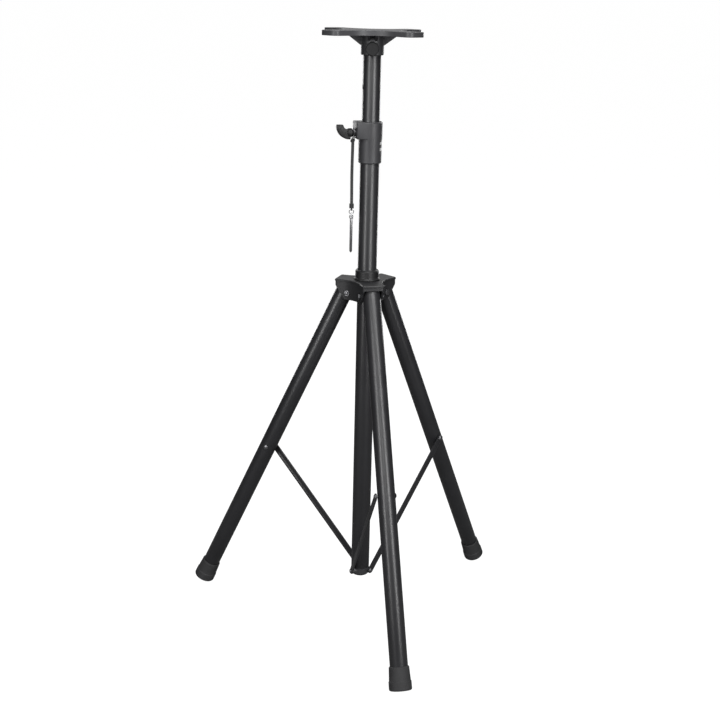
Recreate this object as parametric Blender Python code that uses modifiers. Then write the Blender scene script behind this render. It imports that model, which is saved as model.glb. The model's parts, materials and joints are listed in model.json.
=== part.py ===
"""Speaker tripod stand: a telescopic mast on three folding legs, with a turning top tray.

Metres, +Z up. The floor is z = 0 and the origin is the middle of the stand's footprint.
Every piece is its own object. The pieces are laid out about the mast axis and hang from
one empty per moving group, each empty standing on the axis that its group moves on.
"""
import math

import bmesh
import bpy
from mathutils import Matrix, Vector

# ---------------------------------------------------------------- driving dimensions
GAP = 0.0003                     # running gap between touching pieces
ROUND = 32                       # sides of the large turned pieces
SMALL_ROUND = 16                 # sides of the fasteners
DOME_STEPS = 4                   # facets from a rivet head's crown to its rim
EDGE_BREAK = 0.001               # chamfer on the ends of the turned pieces
CAST_EDGE = 0.0012               # chamfer on the castings and grips
FLANGE_INSET = 0.0002            # a plug's flange is this much under its tube's radius
CUT_PAST = 0.010                 # a cutter runs this far past the face that it opens
CUT_ACROSS = 0.030               # half the length of a cutter that crosses a tube
BORE_CLEARANCE = 0.0005          # a blind bore runs this far past its screw or rivet

LEG_AZIMUTHS = {"front": -90.0, "right": 30.0, "left": 150.0}

UPPER_TUBE_RADIUS = 0.0175       # the standard 35 mm speaker pole
UPPER_TUBE_WALL = 0.0015
UPPER_TUBE_BOTTOM = 0.335
UPPER_TUBE_TOP = 1.196
UPPER_BUSH_PLUG = 0.022          # the bush's height inside the tube
UPPER_BUSH_FLANGE = 0.012        # and below it
PIN_HOLE_RADIUS = 0.004
PIN_HOLE_TOP = 1.100             # height of the topmost safety pin hole
PIN_HOLE_PITCH = 0.150
PIN_HOLE_COUNT = 4

LOWER_TUBE_RADIUS = 0.019
LOWER_TUBE_INNER_RADIUS = 0.01785
LOWER_TUBE_BOTTOM = 0.094
LOWER_TUBE_TOP = 0.995

LEG_RADIUS = 0.0175
LEG_WALL = 0.0015
LEG_ANGLE = math.radians(24.9)   # from the vertical, legs open
LEG_PIVOT_RHO = 0.0345           # distance of the leg pivots from the mast axis
LEG_PIVOT_Z = 0.695
LEG_AXIS_OFFSET = 0.0108         # the tube's axis lies outside its pivot by this much
LEG_TOP_OVERHANG = 0.0048        # tube above the pivot
LEG_BRACE_DROP = 0.395           # down the leg from the pivot to the brace rivet
LEG_PLUG_DEPTH = 0.022           # from the pivot down to the top plug's end

FOOT_RADIUS = 0.0222
FOOT_RIM_RADIUS = 0.0197
FOOT_HEIGHT = 0.045
FOOT_BAND_HEIGHT = 0.017
FOOT_EDGE = 0.003                # rounding of the sole's edge
FOOT_SOLE = 0.006
FOOT_CHAMFER = 0.0012

BRACE_PIN_RHO = 0.010            # lower brace pivots, in each leg's own direction
BRACE_PIN_Z = 0.087
BRACE_WIDTH = 0.013
BRACE_THICKNESS = 0.003
BRACE_INNER_FACE = 0.0196        # distance of the brace from the leg's middle plane
BRACKET_PLUG_HEIGHT = 0.024      # the end bracket's height inside the lower tube
BRACKET_DROP = 0.0105            # its bottom, below the brace pins
BRACKET_EDGE = 0.006
BOSS_RADIUS = 0.0063             # the bosses that carry the braces
BOSS_ROOT = 0.006                # where a boss starts, from the leg's middle plane
RIVET_DEPTH = 0.012              # the lower rivets' tails, from the same plane
RIVET_RADIUS = 0.003
RIVET_HEAD_RADIUS = 0.0052
RIVET_HEAD_HEIGHT = 0.0024

HUB_BOTTOM = 0.682
HUB_TOP = 0.722
HUB_LOBE_HALF_WIDTH = 0.0214
HUB_REACH = 0.060
HUB_WAIST = 0.0335
HUB_CORNER = 0.003
HUB_LIP = 0.0012                 # the top flange stands proud of the sides by this much
HUB_LIP_HEIGHT = 0.0045
HUB_LINTEL = 0.0103              # thickness of the hub over the legs
HUB_SLOT_HALF_WIDTH = 0.0179
HUB_SLOT_START = 0.0255
HUB_BORE = 0.0206
HUB_EAR_TOE = 0.040              # how far out the ears reach at their lower edge
HUB_SPOT_FACE = 0.0210           # seat of the bolt heads, from the lobe's middle plane
HUB_SPOT_RADIUS = 0.0074
HUB_COLLAR_RADIUS = 0.0237
HUB_COLLAR_HEIGHT = 0.0205
HUB_COLLAR_CHAMFER = 0.003
HUB_COLLAR_SKIRT = 0.0025        # how far the collar's foot flares out
HUB_LIP_RISE = 0.0004            # the lip's top, above the casting's own
HUB_CUT_OUT = 0.020              # the slots' cutters run this far past the lobes

PIVOT_BOLT_RADIUS = 0.003
PIVOT_HEAD_RADIUS = 0.0064
PIVOT_HEAD_HEIGHT = 0.004
PIVOT_BOLT_TAIL = 0.001          # thread standing out of the nut
HEXAGON = 6

CLAMP_BOTTOM = 0.9545
CLAMP_TOP = 1.0347
CLAMP_TOP_RADIUS = 0.0234
CLAMP_BOTTOM_RADIUS = 0.0227
CLAMP_CHAMFER = 0.002
CLAMP_STEP = 0.006               # height of the slope between its two radii
CLAMP_LINER_DROP = 0.0012        # the liner's top, below the clamp's
CLAMP_LUG_REACH = 0.0307         # the lug points to -X
CLAMP_LUG_HALF_WIDTH = 0.022
CLAMP_LUG_BOTTOM = 1.0022
CLAMP_LUG_ROOT = 0.004           # the lug starts inside the collar
CLAMP_LUG_DROP = 0.0004          # the lug's top, below the clamp's
CLAMP_LUG_EDGE = 0.0015
WASHER_RADIUS = 0.0068
WASHER_THICKNESS = 0.0014
EYELET_RADIUS = 0.0100           # the eyelet that the safety pin's cord is tied to
EYELET_HOLE = 0.0015
EYELET_HOLE_DROP = 0.0072        # below the screw
EYELET_CLEARANCE = 0.0005
EYELET_OUTER_X = -0.0347
EYELET_INNER_X = -0.0330
CLAMP_SCREW_Z = 1.013
CLAMP_SCREW_RADIUS = 0.0039

KNOB_BASE_X = 0.0349             # distance of the wing knob's back from the mast axis
KNOB_HUB_RADIUS = 0.0086
KNOB_HUB_LENGTH = 0.0115
KNOB_BACK_RADIUS = 0.0055
KNOB_BACK_TAPER = 0.0026         # its back tapers, clear of the cord's eyelet
KNOB_EDGE = 0.003
KNOB_SCREW_DEPTH = 0.011         # the screw's length inside the knob
KNOB_SIDES = 28
WING_THICKNESS = 0.0105
WING_EDGE = 0.0026
WING_BACK_CENTRE = (0.0131, 0.0420)   # of the round lower edge: above the screw, out from the mast axis
WING_BACK_RADIUS = 0.0257
WING_BACK_ARC = (180, 87)        # degrees, from the knob's underside to the tip
WING_BACK_STEPS = 10
WING_TIP = (0.0153, 0.0662)      # the outer corner of the tip's level top, measured the same way
WING_TIP_LENGTH = 0.0120
WING_HOLLOW_RADIUS = 0.0085      # from the tip's top down to the knob's middle
WING_HOLLOW_STEPS = 5
WING_ROOT_X = 0.0396             # the wing starts past the hanging cord

TRAY_TURN = math.radians(-13.1)  # the tray's turn on the pole
TRAY_TOP = 1.206
TRAY_DEPTH = 0.0095
TRAY_SKIN = 0.003
TRAY_REACH = 0.118
TRAY_ARM_HALF_WIDTH = 0.022
TRAY_WAIST = 0.054
TRAY_CORNER = 0.012
TRAY_RIM = 0.003
SOCKET_RADIUS = 0.022
SOCKET_BOTTOM = 1.1595
SOCKET_BORE = 0.0178
SOCKET_ROOF = 0.0075             # material over the pole's end
SOCKET_TOP_DROP = 0.001          # the socket's cylinder ends inside the skin
SCREW_BORE_START = 0.012         # the lock screws' bores start inside the pole's own bore
RIB_THICKNESS = 0.0045
RIB_SPREAD = 0.0075              # each rib of a pair from the pair's middle
RIB_ROOT = 0.019                 # the ribs start inside the socket
RIB_FOOT = 0.023
RIB_REACH = 0.0495
RIB_FOOT_Z = 1.178
RIB_FRONT_FOOT_Z = 1.1865        # the ribs over the lock knob stop short of it
FRONT_QUARTER = 3
TRAY_KNOB_Z = 1.172
TRAY_KNOB_BACK = 0.0245
TRAY_KNOB_RADIUS = 0.0130
TRAY_KNOB_DEPTH = 0.013
TRAY_KNOB_FLUTES = 20
TRAY_KNOB_FLUTE_DEPTH = 0.0007

HUB_KNOB_Z = 0.699
HUB_KNOB_BACK = 0.0435
HUB_KNOB_RADIUS = 0.0155
HUB_KNOB_DEPTH = 0.014
HUB_KNOB_LOBES = 6
HUB_KNOB_LOBE_DEPTH = 0.003
LOCK_SCREW_SHARE = 0.55          # how deep a lock screw sits in its knob
LOCK_SCREW_RADIUS = 0.003

CORD_RADIUS = 0.0030
CORD_X = -0.0345                 # the safety pin's cord hangs beside the lug
CORD_TOP = 1.0020
CORD_BOTTOM = 0.8680
CORD_PIVOT_Z = 1.0035            # where the hanging cord swings, at the eyelet
CORD_BOW = 0.0006
CORD_STEPS = 14
TOP_FERRULE_DROP = 0.0085        # the upper ferrule's lower end, below the cord's top
FERRULE_LENGTH = 0.007
TOP_FERRULE_WALL = 0.0011
END_FERRULE_WALL = 0.0016
END_FERRULE_FLOOR = 0.0022       # above the eye's middle
EYE_RADIUS = 0.0029
EYE_HOLE = 0.0015
EYE_THICKNESS = 0.002
EYE_HOLE_SIDES = 12
FERRULE_EYE_Z = 0.8640
RING_RADIUS = 0.0045
RING_WIRE = 0.0009
RING_WIRE_SIDES = 8
RING_SIDES = 28
PIN_RADIUS = 0.0028
PIN_HEAD_RADIUS = 0.0041
PIN_HEAD_LENGTH = 0.007
PIN_HEAD_EDGE = 0.0008
PIN_NECK = 0.0018                # the head's top, below the eye's middle
PIN_POINT = 0.003                # length of the tapered point
PIN_POINT_RADIUS = 0.001
PIN_TIP_Z = 0.778

CASTINGS = ("hub_body", "tray_plate")

# ---------------------------------------------------------------- derived dimensions
SIN_LEG = math.sin(LEG_ANGLE)
COS_LEG = math.cos(LEG_ANGLE)
SOLE_CENTRE_Z = (FOOT_RADIUS - FOOT_EDGE) * SIN_LEG + FOOT_EDGE * (1 - COS_LEG)
LEG_LENGTH = (LEG_PIVOT_Z + LEG_AXIS_OFFSET * SIN_LEG - SOLE_CENTRE_Z) / COS_LEG
SOLE_CENTRE_RHO = LEG_PIVOT_RHO + LEG_AXIS_OFFSET * COS_LEG + LEG_LENGTH * SIN_LEG

BRACE_RIVET_RHO = LEG_PIVOT_RHO + LEG_AXIS_OFFSET * COS_LEG + LEG_BRACE_DROP * SIN_LEG
BRACE_RIVET_Z = LEG_PIVOT_Z + LEG_AXIS_OFFSET * SIN_LEG - LEG_BRACE_DROP * COS_LEG
BRACE_RISE = BRACE_RIVET_Z - BRACE_PIN_Z
BRACE_RUN = BRACE_RIVET_RHO - BRACE_PIN_RHO
BRACE_LENGTH = math.hypot(BRACE_RISE, BRACE_RUN)
BRACE_ANGLE = math.atan2(BRACE_RUN, BRACE_RISE)
BRACE_OUTER_FACE = BRACE_INNER_FACE + BRACE_THICKNESS


def sole_spread(direction_cosine):
    """Reach of a tilted round sole from its centre, along a level direction.

    direction_cosine is the cosine between that direction and the leg's own bearing.
    """
    across = math.sqrt(1 - direction_cosine ** 2)
    disc = math.hypot(COS_LEG * direction_cosine, across) * (FOOT_RADIUS - FOOT_EDGE)
    return disc + FOOT_EDGE


def mast_offset_y():
    """Where the mast stands in Y, so that the footprint's box is centred on the origin."""
    edge_drop = FOOT_EDGE * SIN_LEG
    front = SOLE_CENTRE_RHO - edge_drop + sole_spread(1.0)
    back = (SOLE_CENTRE_RHO - edge_drop) * 0.5 + sole_spread(0.5)
    return (front - back) / 2


MAST_Y = mast_offset_y()
ABOUT_X = Matrix.Rotation(math.pi / 2, 4, "Y")      # a turned piece's axis laid along +X
ABOUT_Y = Matrix.Rotation(-math.pi / 2, 4, "X")     # a turned piece's axis laid along +Y


# ---------------------------------------------------------------- materials
def make_material(name, colour, roughness, metallic):
    material = bpy.data.materials.new(name)
    material.use_nodes = True
    shader = material.node_tree.nodes["Principled BSDF"]
    shader.inputs["Base Color"].default_value = (*colour, 1.0)
    shader.inputs["Roughness"].default_value = roughness
    shader.inputs["Metallic"].default_value = metallic
    return material


def make_materials():
    return {
        "powder_coat": make_material("powder_coat", (0.028, 0.028, 0.031), 0.38, 0.0),
        "moulding": make_material("moulding", (0.050, 0.050, 0.053), 0.50, 0.0),
        "rubber": make_material("rubber", (0.014, 0.014, 0.015), 0.80, 0.0),
        "steel": make_material("steel", (0.62, 0.62, 0.64), 0.28, 1.0),
        "liner": make_material("liner", (0.075, 0.075, 0.078), 0.60, 0.0),
        "cord": make_material("cord", (0.010, 0.010, 0.011), 0.90, 0.0),
    }


# ---------------------------------------------------------------- modelling helpers
def clear_scene():
    for old in list(bpy.data.objects):
        bpy.data.objects.remove(old, do_unlink=True)


def new_collection(name):
    collection = bpy.data.collections.new(name)
    bpy.context.scene.collection.children.link(collection)
    return collection


def arc(centre, radius, start, stop, steps):
    """Points on an arc, from start to stop in degrees, both ends included."""
    points = []
    for step in range(steps + 1):
        angle = math.radians(start + (stop - start) * step / steps)
        points.append((centre[0] + radius * math.cos(angle), centre[1] + radius * math.sin(angle)))
    return points


def turn(points, angle):
    cosine = math.cos(angle)
    sine = math.sin(angle)
    return [(x * cosine - y * sine, x * sine + y * cosine) for x, y in points]


def star_outline(arms, half_width, reach, waist, corner):
    """Outline of a star of straight arms with round corners and hollow flanks between them."""
    half_angle = math.pi / arms
    hollow = (waist * math.sin(half_angle) - half_width) / (1 - math.sin(half_angle))
    centre = waist + hollow
    flank = math.degrees(half_angle)
    outline = []
    for arm in range(arms):
        end = arc((reach - corner, -half_width + corner), corner, -90, 0, 4)
        end += arc((reach - corner, half_width - corner), corner, 0, 90, 4)
        middle = (centre * math.cos(half_angle), centre * math.sin(half_angle))
        end += arc(middle, hollow, -90, -90 - 2 * (90 - flank), 8)
        outline += turn(end, 2 * half_angle * arm)
    return outline


def fluted_outline(radius, depth, flutes):
    """Outline of a round grip with shallow round flutes."""
    outline = []
    samples = flutes * 4
    for sample in range(samples):
        angle = 2 * math.pi * sample / samples
        swell = radius - depth * (0.5 - 0.5 * math.cos(angle * flutes))
        outline.append((swell * math.cos(angle), swell * math.sin(angle)))
    return outline


class Workshop:
    """Makes the pieces, and files each in the stand's collection or with the cutters."""

    def __init__(self):
        self.materials = make_materials()
        self.pieces = new_collection("speaker_tripod_stand")
        self.cutters = new_collection("cutters")

    def place(self, name, mesh, material, matrix, parent):
        piece = bpy.data.objects.new(name, mesh)
        if material is None:
            self.cutters.objects.link(piece)
            piece.hide_render = True
            piece.display_type = "WIRE"
        else:
            self.pieces.objects.link(piece)
            mesh.materials.append(self.materials[material])
        piece.parent = parent
        piece.matrix_world = (parent.matrix_world if parent else Matrix()) @ matrix
        mesh.shade_smooth()
        mesh.set_sharp_from_angle(angle=math.radians(32))
        return piece

    def group(self, name, matrix, parent=None):
        """An empty on a moving group's axis."""
        empty = bpy.data.objects.new(name, None)
        empty.empty_display_size = 0.02
        self.pieces.objects.link(empty)
        empty.parent = parent
        empty.matrix_world = (parent.matrix_world if parent else Matrix()) @ matrix
        bpy.context.view_layer.update()
        return empty

    def turned(self, name, profile, material, matrix, parent, closed=False, sides=ROUND):
        """A profile of (radius, height) points, down its outer side, screwed about Z."""
        mesh = bpy.data.meshes.new(name)
        count = len(profile)
        edges = [(index, index + 1) for index in range(count - 1)]
        if closed:
            edges.append((count - 1, 0))
        mesh.from_pydata([(radius, 0.0, height) for radius, height in profile], edges, [])
        piece = self.place(name, mesh, material, matrix, parent)
        screw = piece.modifiers.new("turn", "SCREW")
        screw.steps = sides
        screw.render_steps = sides
        screw.use_merge_vertices = True
        screw.merge_threshold = 1e-5
        screw.use_smooth_shade = True
        return piece

    def ring(self, name, inner, outer, low, high, material, matrix, parent, sides=ROUND):
        profile = [(outer, high), (outer, low), (inner, low), (inner, high)]
        return self.turned(name, profile, material, matrix, parent, closed=True, sides=sides)

    def rod(self, name, radius, low, high, material, matrix, parent, sides=SMALL_ROUND):
        profile = [(0.0, high), (radius, high), (radius, low), (0.0, low)]
        return self.turned(name, profile, material, matrix, parent, sides=sides)

    def plate(self, name, outline, thickness, material, matrix, parent):
        """A flat outline in the XY plane, half its thickness to each side."""
        curve = bpy.data.curves.new(name + "_outline", "CURVE")
        curve.dimensions = "2D"
        curve.fill_mode = "BOTH"
        curve.extrude = thickness / 2
        spline = curve.splines.new("POLY")
        spline.points.add(len(outline) - 1)
        for point, (x, y) in zip(spline.points, outline):
            point.co = (x, y, 0.0, 1.0)
        spline.use_cyclic_u = True
        drawing = bpy.data.objects.new(name + "_outline", curve)
        self.cutters.objects.link(drawing)
        mesh = self.mesh_of(drawing, name)
        return self.place(name, mesh, material, matrix, parent)

    def mesh_of(self, drawing, name):
        """The welded mesh of a curve object, which is then removed."""
        bpy.context.view_layer.update()
        evaluated = drawing.evaluated_get(bpy.context.evaluated_depsgraph_get())
        mesh = bpy.data.meshes.new_from_object(evaluated)
        mesh.name = name
        work = bmesh.new()
        work.from_mesh(mesh)
        bmesh.ops.remove_doubles(work, verts=work.verts, dist=1e-6)
        bmesh.ops.recalc_face_normals(work, faces=work.faces)
        bmesh.ops.dissolve_limit(work, angle_limit=0.001, verts=work.verts, edges=work.edges)
        work.to_mesh(mesh)
        work.free()
        bpy.data.objects.remove(drawing, do_unlink=True)
        return mesh

    def box(self, name, low, high, material, matrix, parent, edge=0.0):
        mesh = bpy.data.meshes.new(name)
        work = bmesh.new()
        bmesh.ops.create_cube(work, size=1.0)
        low = Vector(low)
        size = Vector(high) - low
        for vertex in work.verts:
            place = [low[i] + size[i] * (vertex.co[i] + 0.5) for i in range(3)]
            vertex.co = place
        work.to_mesh(mesh)
        work.free()
        piece = self.place(name, mesh, material, matrix, parent)
        if edge:
            round_edges(piece, edge, 2)
        return piece

    def cut(self, piece, cutter):
        boolean(piece, cutter, "DIFFERENCE")

    def join(self, piece, addition):
        boolean(piece, addition, "UNION")


def boolean(piece, other, operation):
    """The castings' many shallow cuts need the MANIFOLD solver: EXACT leaves open slivers there."""
    modifier = piece.modifiers.new(operation.lower(), "BOOLEAN")
    modifier.operation = operation
    modifier.solver = "MANIFOLD" if piece.name in CASTINGS else "EXACT"
    modifier.object = other


def round_edges(piece, width, segments, limit=40.0):
    modifier = piece.modifiers.new("round", "BEVEL")
    modifier.width = width
    modifier.segments = segments
    modifier.limit_method = "ANGLE"
    modifier.angle_limit = math.radians(limit)


def shifted(x=0.0, y=0.0, z=0.0):
    return Matrix.Translation((x, y, z))


def bearing(azimuth):
    return Matrix.Rotation(math.radians(azimuth), 4, "Z")


# ---------------------------------------------------------------- the mast
def make_lower_mast(shop, root):
    shop.ring("lower_mast_tube", LOWER_TUBE_INNER_RADIUS, LOWER_TUBE_RADIUS,
              LOWER_TUBE_BOTTOM, LOWER_TUBE_TOP, "powder_coat", Matrix(), root)
    make_end_bracket(shop, root)
    make_clamp(shop, root)


def make_end_bracket(shop, root):
    """The moulded plug in the mast's lower end, with a boss for each brace."""
    plug_radius = LOWER_TUBE_INNER_RADIUS - GAP
    flange_radius = LOWER_TUBE_RADIUS - FLANGE_INSET
    plug_top = LOWER_TUBE_BOTTOM + BRACKET_PLUG_HEIGHT
    flange_top = LOWER_TUBE_BOTTOM - GAP
    edge = BRACKET_EDGE
    bottom = BRACE_PIN_Z - BRACKET_DROP
    profile = [(0.0, plug_top), (plug_radius - EDGE_BREAK, plug_top)]
    profile.append((plug_radius, plug_top - EDGE_BREAK))
    profile += [(plug_radius, flange_top), (flange_radius, flange_top)]
    profile += arc((flange_radius - edge, bottom + edge), edge, 0, -90, 4)
    profile.append((0.0, bottom))
    bracket = shop.turned("mast_end_bracket", profile, "moulding", Matrix(), root)
    boss_face = BRACE_INNER_FACE - GAP
    for side, azimuth in LEG_AZIMUTHS.items():
        pin = bearing(azimuth) @ shifted(x=BRACE_PIN_RHO, z=BRACE_PIN_Z) @ ABOUT_Y
        boss = shop.rod("boss_" + side, BOSS_RADIUS, -boss_face, -BOSS_ROOT, None, pin, root)
        shop.join(bracket, boss)
    for side, azimuth in LEG_AZIMUTHS.items():
        pin = bearing(azimuth) @ shifted(x=BRACE_PIN_RHO, z=BRACE_PIN_Z) @ ABOUT_Y
        bore = shop.rod("boss_bore_" + side, RIVET_RADIUS + GAP, -CUT_ACROSS,
                        BORE_CLEARANCE - RIVET_DEPTH, None, pin, root)
        shop.cut(bracket, bore)
        make_rivet(shop, "brace_lower_rivet_" + side, -BRACE_OUTER_FACE - GAP, -RIVET_DEPTH, pin,
                   root)


def rivet_dome():
    """A rivet head's profile from its crown to its rim: radius, and height over the seat."""
    dome = []
    for step in range(DOME_STEPS + 1):
        angle = math.pi / 2 * step / DOME_STEPS
        dome.append((RIVET_HEAD_RADIUS * math.sin(angle), RIVET_HEAD_HEIGHT * math.cos(angle)))
    return dome


def make_rivet(shop, name, seat, tail, matrix, parent):
    """A domed rivet along -Z of its frame: the head sits on the seat, the shank runs to the tail."""
    profile = [(radius, seat - height) for radius, height in rivet_dome()]
    profile += [(RIVET_RADIUS, seat), (RIVET_RADIUS, tail), (0.0, tail)]
    profile.reverse()
    return shop.turned(name, profile, "steel", matrix, parent, sides=SMALL_ROUND)


def make_clamp(shop, root):
    """The moulded clamp on top of the lower tube, with its liner, washer and cord eyelet."""
    top = CLAMP_TOP_RADIUS
    low = CLAMP_BOTTOM_RADIUS
    edge = CLAMP_CHAMFER
    profile = [(0.0, CLAMP_TOP), (top - edge, CLAMP_TOP), (top, CLAMP_TOP - edge)]
    profile += [(top, CLAMP_LUG_BOTTOM), (low, CLAMP_LUG_BOTTOM - CLAMP_STEP)]
    profile += [(low, CLAMP_BOTTOM + edge), (low - edge, CLAMP_BOTTOM), (0.0, CLAMP_BOTTOM)]
    collar = shop.turned("clamp_collar", profile, "moulding", Matrix(), root)
    lug_low = (-CLAMP_LUG_REACH, -CLAMP_LUG_HALF_WIDTH, CLAMP_LUG_BOTTOM)
    lug_high = (-CLAMP_LUG_ROOT, CLAMP_LUG_HALF_WIDTH, CLAMP_TOP - CLAMP_LUG_DROP)
    lug = shop.box("lug", lug_low, lug_high, None, Matrix(), root, edge=CLAMP_LUG_EDGE)
    shop.join(collar, lug)
    bore = shop.rod("clamp_bore", LOWER_TUBE_RADIUS + GAP, CLAMP_BOTTOM - CUT_PAST,
                    CLAMP_TOP + CUT_PAST, None, Matrix(), root, sides=ROUND)
    shop.cut(collar, bore)
    screw_line = shifted(z=CLAMP_SCREW_Z) @ ABOUT_X
    screw_bore = shop.rod("clamp_screw_bore", CLAMP_SCREW_RADIUS + GAP,
                          -CLAMP_LUG_REACH - CUT_PAST, -SCREW_BORE_START, None, screw_line, root)
    shop.cut(collar, screw_bore)
    shop.ring("clamp_liner", UPPER_TUBE_RADIUS + GAP, LOWER_TUBE_RADIUS - GAP / 2,
              LOWER_TUBE_TOP + GAP, CLAMP_TOP - CLAMP_LINER_DROP, "liner", Matrix(), root)
    washer_face = -CLAMP_LUG_REACH - GAP
    shop.ring("clamp_washer", CLAMP_SCREW_RADIUS + GAP, WASHER_RADIUS,
              washer_face - WASHER_THICKNESS, washer_face, "steel", screw_line, root,
              sides=SMALL_ROUND)
    eyelet = shop.ring("lanyard_eyelet", CLAMP_SCREW_RADIUS + EYELET_CLEARANCE, EYELET_RADIUS,
                       EYELET_OUTER_X, EYELET_INNER_X, "steel", screw_line, root, sides=SMALL_ROUND)
    hole = shop.rod("eyelet_hole", EYELET_HOLE, EYELET_OUTER_X - CUT_PAST, EYELET_INNER_X + CUT_PAST,
                    None, shifted(z=-EYELET_HOLE_DROP) @ screw_line, root, sides=EYE_HOLE_SIDES)
    shop.cut(eyelet, hole)


def make_clamp_knob(shop, group):
    """The crescent hand knob and its pressure screw. The group's frame has +Z along the screw, outward."""
    screw_end = KNOB_BASE_X + KNOB_SCREW_DEPTH
    shop.rod("clamp_screw", CLAMP_SCREW_RADIUS, LOWER_TUBE_RADIUS + 2 * GAP, screw_end, "steel",
             Matrix(), group)
    base = KNOB_BASE_X
    crown = base + KNOB_HUB_LENGTH
    radius = KNOB_HUB_RADIUS
    profile = [(0.0, crown)] + arc((radius - KNOB_EDGE, crown - KNOB_EDGE), KNOB_EDGE, 90, 0, 3)
    profile += [(radius, base + KNOB_BACK_TAPER), (KNOB_BACK_RADIUS, base), (0.0, base)]
    knob = shop.turned("wing_knob", profile, "moulding", Matrix(), group, sides=KNOB_SIDES)
    wing = shop.plate("wing", wing_outline(), WING_THICKNESS, None,
                      Matrix.Rotation(math.pi / 2, 4, "X"), group)
    round_edges(wing, WING_EDGE, 3, limit=50.0)
    shop.join(knob, wing)
    bore = shop.rod("knob_bore", CLAMP_SCREW_RADIUS + GAP, base - CUT_PAST,
                    screw_end + BORE_CLEARANCE, None, Matrix(), group)
    shop.cut(knob, bore)


def wing_outline():
    """The knob's one wing: a round back, one tip pointing up and a hollow under it.

    x is above the screw and y is outward along it.
    """
    back = arc(WING_BACK_CENTRE, WING_BACK_RADIUS, *WING_BACK_ARC, WING_BACK_STEPS)
    tip_top, tip_end = WING_TIP
    hollow_start = tip_end - WING_TIP_LENGTH
    hollow_low = tip_top - WING_HOLLOW_RADIUS
    hollow_centre = (tip_top, hollow_start - WING_HOLLOW_RADIUS)
    hollow = arc(hollow_centre, WING_HOLLOW_RADIUS, 90, 180, WING_HOLLOW_STEPS)
    return [(back[0][0], WING_ROOT_X)] + back + [WING_TIP] + hollow + [(hollow_low, WING_ROOT_X)]


def make_upper_mast(shop, group):
    """The sliding pole with its row of safety pin holes, and the bush on its lower end."""
    inner = UPPER_TUBE_RADIUS - UPPER_TUBE_WALL
    tube = shop.ring("upper_mast_tube", inner, UPPER_TUBE_RADIUS, UPPER_TUBE_BOTTOM,
                     UPPER_TUBE_TOP, "powder_coat", Matrix(), group)
    for index in range(PIN_HOLE_COUNT):
        height = PIN_HOLE_TOP - PIN_HOLE_PITCH * index
        hole = shop.rod("pin_hole_%d" % index, PIN_HOLE_RADIUS, -CUT_ACROSS, CUT_ACROSS, None,
                        shifted(z=height) @ ABOUT_X, group)
        shop.cut(tube, hole)
    plug = inner - GAP
    flange = LOWER_TUBE_INNER_RADIUS - FLANGE_INSET
    top = UPPER_TUBE_BOTTOM + UPPER_BUSH_PLUG
    seat = UPPER_TUBE_BOTTOM - GAP
    bottom = UPPER_TUBE_BOTTOM - UPPER_BUSH_FLANGE
    profile = [(0.0, top), (plug - EDGE_BREAK, top), (plug, top - EDGE_BREAK)]
    profile += [(plug, seat), (flange, seat), (flange, bottom + EDGE_BREAK)]
    profile += [(flange - EDGE_BREAK, bottom), (0.0, bottom)]
    shop.turned("upper_tube_bush", profile, "liner", Matrix(), group)


# ---------------------------------------------------------------- the tray
def make_tray(shop, group):
    """The four-armed top plate: a skin with a rim, ribs under it and the socket for the pole."""
    turn_arms = Matrix.Rotation(math.pi / 4, 4, "Z")
    outline = star_outline(4, TRAY_ARM_HALF_WIDTH, TRAY_REACH, TRAY_WAIST, TRAY_CORNER)
    middle = shifted(z=TRAY_TOP - TRAY_DEPTH / 2) @ turn_arms
    tray = shop.plate("tray_plate", outline, TRAY_DEPTH, "powder_coat", middle, group)
    round_edges(tray, CAST_EDGE, 1, limit=60.0)
    hollow_line = star_outline(4, TRAY_ARM_HALF_WIDTH - TRAY_RIM, TRAY_REACH - TRAY_RIM,
                               TRAY_WAIST - TRAY_RIM, TRAY_CORNER - TRAY_RIM)
    under = shifted(z=TRAY_TOP - TRAY_SKIN - CUT_PAST) @ turn_arms
    hollow = shop.plate("tray_hollow", hollow_line, 2 * CUT_PAST, None, under, group)
    shop.cut(tray, hollow)
    socket = shop.rod("socket", SOCKET_RADIUS, SOCKET_BOTTOM, TRAY_TOP - SOCKET_TOP_DROP, None,
                      Matrix(), group, sides=ROUND)
    round_edges(socket, CAST_EDGE, 1, limit=60.0)
    shop.join(tray, socket)
    for quarter in range(4):
        foot = RIB_FRONT_FOOT_Z if quarter == FRONT_QUARTER else RIB_FOOT_Z
        for side in (-1, 1):
            facing = Matrix.Rotation(math.pi / 2 * quarter, 4, "Z") @ shifted(y=side * RIB_SPREAD)
            rib = shop.plate("rib_%d_%d" % (quarter, side), rib_outline(foot), RIB_THICKNESS, None,
                             facing @ Matrix.Rotation(math.pi / 2, 4, "X"), group)
            shop.join(tray, rib)
    bore = shop.rod("socket_bore", SOCKET_BORE, SOCKET_BOTTOM - CUT_PAST, TRAY_TOP - SOCKET_ROOF,
                    None, Matrix(), group, sides=ROUND)
    shop.cut(tray, bore)
    screw_bore = shop.rod("tray_screw_bore", LOCK_SCREW_RADIUS + GAP, -CUT_ACROSS,
                          -SCREW_BORE_START, None, shifted(z=TRAY_KNOB_Z) @ ABOUT_Y, group)
    shop.cut(tray, screw_bore)


def rib_outline(foot):
    """One gusset: x outward, y up."""
    top = TRAY_TOP - TRAY_SKIN / 2
    under = TRAY_TOP - TRAY_DEPTH
    return [(RIB_ROOT, top), (RIB_ROOT, foot), (RIB_FOOT, foot), (RIB_REACH, under + EDGE_BREAK),
            (RIB_REACH, top)]


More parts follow.
